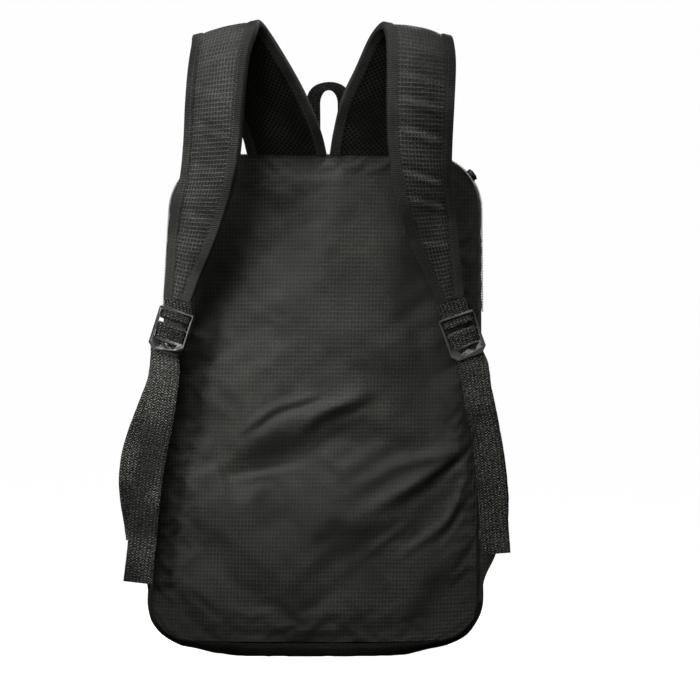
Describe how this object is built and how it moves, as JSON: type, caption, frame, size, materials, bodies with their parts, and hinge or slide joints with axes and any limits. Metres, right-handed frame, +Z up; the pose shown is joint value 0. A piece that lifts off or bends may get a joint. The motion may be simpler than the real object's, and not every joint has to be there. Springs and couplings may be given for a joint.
{
  "type": "packable backpack",
  "caption": "Soft packable daypack, filled and standing, with padded shoulder straps arched up from its top seam, ladder locks, hanging webbing tails, a curved zip and a grab loop.",
  "frame": {"origin": "centre of the flat patch of the bottom that the bag stands on, midway between its seams", "axes": "+Z up; +Y from the wearer's side, with the straps, towards the front; +X to the right of somebody who looks at the side with the straps"},
  "size_m": [0.3502, 0.2527, 0.567],
  "materials": {
    "cloth": "thin coated ripstop with a faint sheen",
    "binding_tape": "matt binding tape",
    "air_mesh": "open air mesh",
    "webbing": "flat woven webbing",
    "lock_plastic": "semi-gloss moulded plastic",
    "zip_cloth": "woven zip tape with a moulded coil",
    "slider_metal": "satin black enamel"
  },
  "bodies": {
    "root": {"back_panel": "cloth", "front_panel": "cloth", "bottom_panel": "cloth", "side_gusset_left": "cloth", "side_gusset_right": "cloth", "zip_strip_back": "cloth", "zip_strip_front": "cloth", "zip_tape": "zip_cloth", "zip_coil": "zip_cloth", "zip_slider": "slider_metal", "strap_pad_left": "cloth", "strap_mesh_left": "air_mesh", "strap_binding_outer_left": "binding_tape", "strap_binding_inner_left": "binding_tape", "strap_tab_left": "webbing", "ladder_lock_left": "lock_plastic", "adjusting_webbing_left": "webbing", "webbing_wing_left": "cloth", "strap_pad_right": "cloth", "strap_mesh_right": "air_mesh", "strap_binding_outer_right": "binding_tape", "strap_binding_inner_right": "binding_tape", "strap_tab_right": "webbing", "ladder_lock_right": "lock_plastic", "adjusting_webbing_right": "webbing", "webbing_wing_right": "cloth", "grab_loop": "webbing"}
  },
  "joints": []
}
